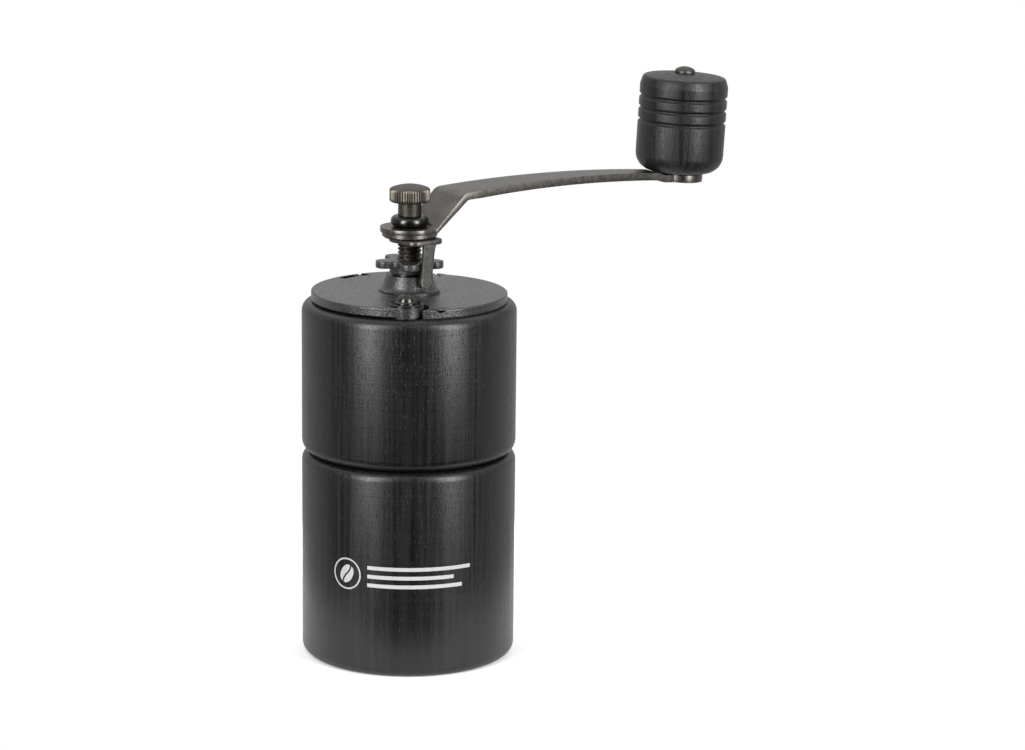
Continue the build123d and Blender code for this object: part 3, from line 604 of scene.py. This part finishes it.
def bent_strip(name, path, half_width, thickness, edge, turn, lean=None, skew=None, drift=None, columns=6):
    """A strip bent along a path of (out, height) points on its top face, with rounded edges.

    turn is the direction of out, as an angle about +Z. half_width, thickness, lean, skew and drift are
    functions of the distance along the path: lean twists the strip, skew slants its cross lines, and
    drift moves it sideways.
    """
    lengths = running_lengths(path)
    last = len(path) - 1
    tangents = [(path[min(i + 1, last)] - path[max(i - 1, 0)]).normalized() for i in range(last + 1)]
    work = bmesh.new()
    grid = []
    for along in lengths:
        half = half_width(along)
        sides = [half * (2 * c / columns - 1) for c in range(columns + 1)]
        grid.append([[work.verts.new((along, side, level)) for side in sides] for level in (-1, 1)])
    for first, second in zip(grid, grid[1:]):
        for c in range(columns):
            work.faces.new((first[0][c], first[0][c + 1], second[0][c + 1], second[0][c]))
            work.faces.new((first[1][c], second[1][c], second[1][c + 1], first[1][c + 1]))
        work.faces.new((first[0][0], second[0][0], second[1][0], first[1][0]))
        work.faces.new((first[0][columns], first[1][columns], second[1][columns], second[0][columns]))
    for end in (0, -1):
        for c in range(columns):
            work.faces.new((grid[end][0][c], grid[end][0][c + 1], grid[end][1][c + 1], grid[end][1][c]))
    bmesh.ops.remove_doubles(work, verts=work.verts, dist=1e-4)
    bmesh.ops.dissolve_degenerate(work, edges=work.edges, dist=1e-5)
    bmesh.ops.recalc_face_normals(work, faces=work.faces)
    work.normal_update()
    rims = [e for e in work.edges if len(e.link_faces) == 2 and e.calc_face_angle() > radians(60)]
    rims = [e for e in rims if abs(e.verts[0].co.z - e.verts[1].co.z) < 1e-6]
    bmesh.ops.bevel(work, geom=rims, offset=edge, segments=3, profile=0.5, affect="EDGES", clamp_overlap=True)
    out = Vector((cos(turn), sin(turn), 0))
    across = Vector((sin(turn), -cos(turn), 0))
    up = Vector((0, 0, 1))
    on_edge = []  # the vertices of the sides and the rounded edges, which take the worn look
    for vertex in work.verts:
        along, side, level = vertex.co
        shear = skew(along) * side if skew else 0.0
        place = along - shear
        i = min(max(bisect_right(lengths, place) - 1, 0), last - 1)
        share = (place - lengths[i]) / (lengths[i + 1] - lengths[i])
        point = path[i].lerp(path[i + 1], share)
        heading = tangents[i].lerp(tangents[i + 1], min(max(share, 0.0), 1.0)).normalized()
        forward = out * heading.x + up * heading.y
        upward = across.cross(forward)
        angle = lean(along) if lean else 0.0
        sideways = across * cos(angle) - upward * sin(angle)
        upward = upward * cos(angle) + across * sin(angle)
        aside = drift(along) if drift else 0.0
        vertex.co = out * (point.x + shear) + up * point.y + sideways * side + across * aside
        vertex.co += upward * (level - 1) * thickness(along) / 2
        on_edge.append(abs(level) < 0.97)
    mesh = bpy.data.meshes.new(name)
    work.to_mesh(mesh)
    work.free()
    rim = mesh.attributes.new("rim", "FLOAT", "POINT")
    for i, value in enumerate(on_edge):
        rim.data[i].value = 1.0 if value else 0.0
    return mesh


# ------------------------------------------------------------------ lock clip

clip_turn = radians(-54.0)
clip_plate_z, clip_t = 137.0, 1.5
clip_r, clip_half, clip_front, clip_corner_r = 6.7, 6.5, 10.8, 3.0
clip_bore_r, clip_flat = 4.0, 3.1
clip_place = Matrix.Rotation(clip_turn, 4, "Z")
clip_side = sqrt(clip_r ** 2 - clip_half ** 2)
clip_rim = rounded([
    (clip_side, -clip_half, 0), (clip_front, -clip_half, clip_corner_r),
    (clip_front, clip_half, clip_corner_r), (clip_side, clip_half, 0),
])
start_turn = atan2(clip_half, clip_side)
for k in range(1, 40):
    around = start_turn + (2 * pi - 2 * start_turn) * k / 40
    clip_rim.append(Vector((clip_r * cos(around), clip_r * sin(around))))
flat_half = acos(clip_flat / clip_bore_r)
flat_turn = crank_angle - clip_turn + pi / 2
clip_hole = []
for side in (0, pi):
    arc = [flat_turn + side + flat_half + (pi - 2 * flat_half) * k / 10 for k in range(11)]
    clip_hole += [(clip_bore_r * cos(a), clip_bore_r * sin(a)) for a in arc]
clip_hole.reverse()
clip_mesh = plate("clip", [clip_rim, clip_hole], clip_plate_z, clip_plate_z + clip_t, 0.3, clip_place)
clip = finish_mesh("clip", clip_mesh)

tab_u, tab_t, tab_half, tab_tip_r = 10.15, 1.2, 2.05, 1.6
tab_out, tab_z = tab_u + 0.6, clip_plate_z + 1.4
tab_corners = [(7.0, tab_z, 0), (tab_out, tab_z, 1.6), (tab_out, clip_low.z, 0)]
tab_path = subdivided(rounded(tab_corners, steps=10), 0.5)
tab_length = running_lengths(tab_path)[-1]
tab_drift = interpolate([(3.0, -0.5), (tab_length, 1.1)])


def tab_half_width(along):
    """Half the tab's width: flared where it leaves the plate, rounded at its tip."""
    left = tab_length - along
    flare = 1.1 * exp(-max(along - 3.6, 0.0) / 1.1)
    corner = 0.0
    if left < tab_tip_r:
        corner = tab_tip_r - sqrt(max(tab_tip_r ** 2 - (tab_tip_r - left) ** 2, 0.0))
    return tab_half + flare - corner


tab = finish_mesh("clip_tab", bent_strip(
    "clip_tab", tab_path, tab_half_width, lambda along: tab_t, 0.3, clip_turn, drift=tab_drift,
))
clip = join_solids(clip, tab)
place_piece(clip, "clip", clip_steel, "dark_steel", "lock_clip")

# ------------------------------------------------------------------ crank arm

hub_t, arm_t = 1.5, 2.5
hub_r, pad_r, pad_offset, pad_slope = 9.6, 7.1, 1.5, radians(-2.18)
hub_top_z = 140.3 + hub_t
knob_u = hypot(knob_foot_point.x, knob_foot_point.y)
pad_u = knob_u + pad_offset
knob_lean = atan2(knob_axis.dot(front_dir), knob_axis.z)
bend_u, arch_end_u = 19.5, 92.0
root_half, tip_half = 8.2, 4.1

arm_thick_at = interpolate([(4.0, hub_t), (10.0, 1.9), (17.0, 2.3), (22.0, arm_t), (200.0, arm_t)])
arch = []
for point in arc_through((15.6, 152.5), (57.0, 154.25), (arch_end_u, 152.9), 80):
    if point.x > bend_u:
        arch.append(point)
hub_points = [Vector((-hub_r * cos(radians(4 * k)), hub_top_z)) for k in range(1, 24)]
bends = rounded([
    (-0.3, hub_top_z, 0), (5.37, hub_top_z, 0.85), (15.25, 152.48, 4.75), (*arch[0], 0),
], steps=12)
pad_points = []
for k in range(41):
    reach = pad_offset - pad_r * cos(radians(4.4 * k))
    pad_points.append(Vector((knob_u + reach, knob_foot_point.z - 0.02 + reach * tan(pad_slope))))
neck = rounded([(*arch[-1], 0), (94.2, 152.7, 4.0), (97.2, 151.8, 4.0), (*pad_points[0], 0)], steps=8)
arm_path = hub_points + bends[1:] + arch[1:] + neck[1:] + pad_points[1:]
arm_path = [p for i, p in enumerate(arm_path) if i == 0 or (p - arm_path[i - 1]).length > 0.02]
arm_u_at = interpolate([(length, point.x) for length, point in zip(running_lengths(arm_path), arm_path)])


def past_bend(u):
    """Share of the way from the arm's upper bend to the end of its arch."""
    return min(max((u - bend_u) / (arch_end_u - bend_u), 0.0), 1.0)


def arm_half_width(along):
    """Half the arm's width: a round hub, a tapering strip and a round pad."""
    u = arm_u_at(along)
    if u < 5.0:
        round_hub = sqrt(max(hub_r**2 - u**2, 0.0))
        return round_hub if u < 0 else max(round_hub, root_half)
    strip = root_half + (tip_half - root_half) * past_bend(u)
    round_pad = sqrt(max(pad_r**2 - (u - pad_u) ** 2, 0.0)) if abs(u - pad_u) < pad_r else 0.0
    return round_pad if u > pad_u else max(strip, round_pad)


def arm_lean(along):
    """Twist of the arm, growing to the lean of the knob."""
    return knob_lean * past_bend(arm_u_at(along))


def arm_skew(along):
    """Slant of the arm's bends, fading out along it."""
    return 0.10 * min(max((60.0 - arm_u_at(along)) / 30.0, 0.0), 1.0)


arm_mesh = bent_strip(
    "arm", arm_path, arm_half_width, lambda along: arm_thick_at(arm_u_at(along)), 0.35, crank_angle,
    arm_lean, arm_skew,
)
arm = finish_mesh("arm", arm_mesh, sharp=50)
place_piece(arm, "crank", gunmetal, "gunmetal", "crank_arm")

# ------------------------------------------------------------------ knob

knob_frame = Matrix.Translation(knob_foot_point) @ knob_axis.to_track_quat("Z", "Y").to_matrix().to_4x4()
knob_low, knob_top, knob_r, knob_bore = 0.6, 33.9, 14.86, 3.2
groove_pitch, top_groove, groove_half, groove_deep = 4.1, knob_top - 7.9, 0.85, 0.8
knob_corners = [(knob_bore, knob_low, 0.3), (knob_r, knob_low, 6.0)]
for groove in (2, 1, 0):
    z = top_groove - groove * groove_pitch
    knob_corners += [
        (knob_r, z - groove_half, 0.3), (knob_r - groove_deep, z, 0.4), (knob_r, z + groove_half, 0.3),
    ]
knob_corners += [
    (knob_r, knob_top - 4.0, 1.5), (13.9, knob_top - 1.1, 1.3), (6.0, knob_top, 12.0),
    (knob_bore, knob_top, 0.2),
]
knob_outline = rounded(knob_corners, closed=True)
knob = finish_mesh("knob_wood", lathe("knob_wood", knob_outline, knob_frame, segments=192, closed=True))
place_piece(knob, "knob", handled_wood, "black_wood", "knob")

rivet_r, rivet_head_r, rivet_end = 2.0, 3.45, -3.0
rivet_head_low, rivet_brim, rivet_dome = knob_top + 0.15, knob_top + 0.5, 1.75
rivet_outline = rounded([
    (0, rivet_end, 0), (rivet_r, rivet_end, 0.3), (rivet_r, rivet_head_low, 0),
    (rivet_head_r, rivet_head_low, 0.1), (rivet_head_r, rivet_brim, 0.1),
])
for k in range(1, 12):
    around = pi / 2 * k / 12
    rivet_outline.append(Vector((rivet_head_r * cos(around), rivet_brim + rivet_dome * sin(around))))
rivet_outline.append(Vector((0, rivet_brim + rivet_dome)))
rivet = finish_mesh("rivet", lathe("rivet", rivet_outline, knob_frame, segments=64), sharp=50)
place_piece(rivet, "crank", knurl_steel, "gunmetal", "knob_rivet")

# ------------------------------------------------------------------ printed mark on the front

mark_z, mark_x, mark_r, mark_line = 33.5, -21.0, 5.2, 0.5
bean_r, bean_long, bean_wave, bean_tilt = 2.3, 3.3, 0.28, -0.5
bar_left, bar_ends, bar_gap, bar_half = -13.5, (21.0, 15.0, 18.0), 2.9, 0.62
ink_out, ink_in = body_r + 0.022, body_r + 0.004


def print_patch(name, grid):
    """A thin patch of ink bent round the body, from rows of (distance round, height) points."""
    points = []
    for radius in (ink_in, ink_out):
        for row in grid:
            for around, height in row:
                angle = around / body_r - pi / 2
                points.append((radius * cos(angle), radius * sin(angle), height))
    rows, columns = len(grid), len(grid[0])
    layer = rows * columns
    faces = []
    for r in range(rows - 1):
        for c in range(columns - 1):
            a, b = r * columns + c, (r + 1) * columns + c
            faces.append((a, a + 1, b + 1, b))
            faces.append((layer + a, layer + b, layer + b + 1, layer + a + 1))
    border = list(range(columns)) + [r * columns + columns - 1 for r in range(1, rows)]
    border += [(rows - 1) * columns + c for c in range(columns - 2, -1, -1)]
    border += [r * columns for r in range(rows - 2, 0, -1)]
    for i, a in enumerate(border):
        b = border[(i + 1) % len(border)]
        faces.append((a, layer + a, layer + b, b))
    return raw_mesh(name, points, faces)


def ring_grid(inner, outer, x, z, count=72):
    """Rows of points across a ring."""
    rows = []
    for k in range(count + 1):
        angle = 2 * pi * k / count
        rows.append([(x + r * cos(angle), z + r * sin(angle)) for r in (inner, outer)])
    return rows


def bar_grid(x0, x1, z, half, count=30):
    """Rows of points across a level bar."""
    rows = []
    for k in range(count + 1):
        x = x0 + (x1 - x0) * k / count
        rows.append([(x, z - half), (x, z + half)])
    return rows


def bean_grid(x, z, side, tilt, count=24):
    """Rows of points across half a coffee bean: an oval cut along a gently curved middle line."""
    rows = []
    for k in range(1, count):
        t = -1 + 2 * k / count
        seam = bean_wave * sin(pi * t) + side * bean_wave
        rim_x = side * bean_r * sqrt(1 - t * t)
        if side * (rim_x - seam) < 0.02:
            rim_x = seam + side * 0.02
        row = []
        for part in range(4):
            px = seam + (rim_x - seam) * part / 3
            py = bean_long * t
            row.append((x + px * cos(tilt) - py * sin(tilt), z + px * sin(tilt) + py * cos(tilt)))
        rows.append(row)
    return rows


patches = [print_patch("mark_ring", ring_grid(mark_r - mark_line, mark_r, mark_x, mark_z))]
for side in (-1, 1):
    patches.append(print_patch("mark_bean", bean_grid(mark_x, mark_z, side, bean_tilt)))
for row, bar_end in enumerate(bar_ends):
    bar_z = mark_z + bar_gap - bar_gap * row
    patches.append(print_patch("mark_bar", bar_grid(bar_left, bar_end, bar_z, bar_half)))
for number, patch in enumerate(patches):
    mark = finish_mesh(f"mark_{number}", patch)
    place_piece(mark, "jar", ink, "black_wood")

# ------------------------------------------------------------------ carried-over CAD pieces

carried = [
    (iron, ["top_frame"]),
    (lid_iron, ["lid"]),
    (dark_steel, ["frame_screws", "lid_washer", "lid_screw", "thrust_washer", "knob_washer"]),
    (gunmetal, ["crank_washer"]),
    (raw_iron, ["mill_housing", "lower_bridge"]),
    (burr_steel, ["outer_burr", "inner_burr"]),
    (bronze, ["bridge_bush", "boss_bush"]),
    (bright_steel, ["burr_screws", "drive_pin", "burr_washer", "burr_nut", "spring_washer", "spring"]),
    (bright_steel, ["knob_bush"]),
]
for material, nodes in carried:
    for node in nodes:
        mesh = frame["nodes"][node].data
        mesh.materials.clear()
        mesh.materials.append(material)

# ------------------------------------------------------------------ floor, lights, camera

floor_corners = [(-90, -62, 0), (90, -62, 0), (90, 160, 0), (-90, 160, 0)]
floor = finish_mesh("floor", raw_mesh("floor", floor_corners, [(0, 1, 2, 3)]))
paper = Shader("floor_paper")
paper.set(Base_Color=(0.80, 0.80, 0.80, 1), Roughness=0.9, Specular_IOR_Level=0.1)
paper.set(Emission_Color=(1, 1, 1, 1), Emission_Strength=0.15)
floor.data.materials.append(paper.material)


box_distance, box_height, box_aim = 1.0, 0.42, Vector((0, 0, 0.09))
box_width, box_tall, box_radiance = 0.30, 1.0, 18.5


def softbox(name, azimuth):
    """A tall soft light, in metres. azimuth is measured from the front, positive to the right."""
    light = bpy.data.lights.new(name, "AREA")
    light.shape = "RECTANGLE"
    light.size = box_width
    light.size_y = box_tall
    light.energy = box_radiance * pi * box_width * box_tall
    holder = bpy.data.objects.new(name, light)
    turn = radians(azimuth)
    holder.location = (box_distance * sin(turn), -box_distance * cos(turn), box_height)
    holder.rotation_euler = (box_aim - holder.location).to_track_quat("-Z", "Y").to_euler()
    bpy.context.scene.collection.objects.link(holder)


softbox("left_box", -42)
softbox("right_box", 46)

overhead = bpy.data.lights.new("overhead", "SUN")
overhead.energy = 1.5
overhead.angle = radians(100)
overhead_holder = bpy.data.objects.new("overhead", overhead)
overhead_holder.rotation_euler = (radians(-8), 0, 0)
bpy.context.scene.collection.objects.link(overhead_holder)

# The camera sees a white world. Everything else sees one that is dark in front and light behind.
world = bpy.data.worlds.new("studio")
bpy.context.scene.world = world
world.use_nodes = True
sky = world.node_tree
backdrop = sky.nodes["Background"]
backdrop.inputs["Color"].default_value = (1, 1, 1, 1)
backdrop.inputs["Strength"].default_value = 1.0
room = sky.nodes.new("ShaderNodeBackground")
direction = sky.nodes.new("ShaderNodeTexCoord").outputs["Generated"]
split = sky.nodes.new("ShaderNodeSeparateXYZ")
sky.links.new(direction, split.inputs[0])
fade = sky.nodes.new("ShaderNodeMapRange")
fade.interpolation_type = "SMOOTHSTEP"
for key, value in {"From Min": -0.35, "From Max": 0.35, "To Min": 0.02, "To Max": 0.85}.items():
    fade.inputs[key].default_value = value
sky.links.new(split.outputs["Y"], fade.inputs["Value"])
sky.links.new(fade.outputs["Result"], room.inputs["Strength"])
seen = sky.nodes.new("ShaderNodeLightPath").outputs["Is Camera Ray"]
chooser = sky.nodes.new("ShaderNodeMixShader")
sky.links.new(seen, chooser.inputs[0])
sky.links.new(room.outputs[0], chooser.inputs[1])
sky.links.new(backdrop.outputs[0], chooser.inputs[2])
sky.links.new(chooser.outputs[0], sky.nodes["World Output"].inputs["Surface"])
bpy.context.scene.view_settings.view_transform = "Standard"

# Metres, radians and millimetres of lens, fitted to the outlines in the photograph
camera_distance, camera_height = 1.0529, 0.3286
camera_down, camera_yaw, camera_roll = 0.22036, 0.03206, 0.01105
camera_lens = 116.02
level = cos(camera_down)
ahead = Vector((sin(camera_yaw) * level, cos(camera_yaw) * level, -sin(camera_down)))
right = Vector((cos(camera_yaw), -sin(camera_yaw), 0))
above = right.cross(ahead)
tilted_right = right * cos(camera_roll) + above * sin(camera_roll)
tilted_up = above * cos(camera_roll) - right * sin(camera_roll)
camera_data = bpy.data.cameras.new("camera")
camera_data.sensor_width = 36.0
camera_data.lens = camera_lens
camera = bpy.data.objects.new("camera", camera_data)
camera.matrix_world = Matrix.Translation((0, -camera_distance, camera_height)) @ Matrix(
    (tilted_right, tilted_up, -ahead)
).transposed().to_4x4()
bpy.context.scene.collection.objects.link(camera)
bpy.context.scene.camera = camera
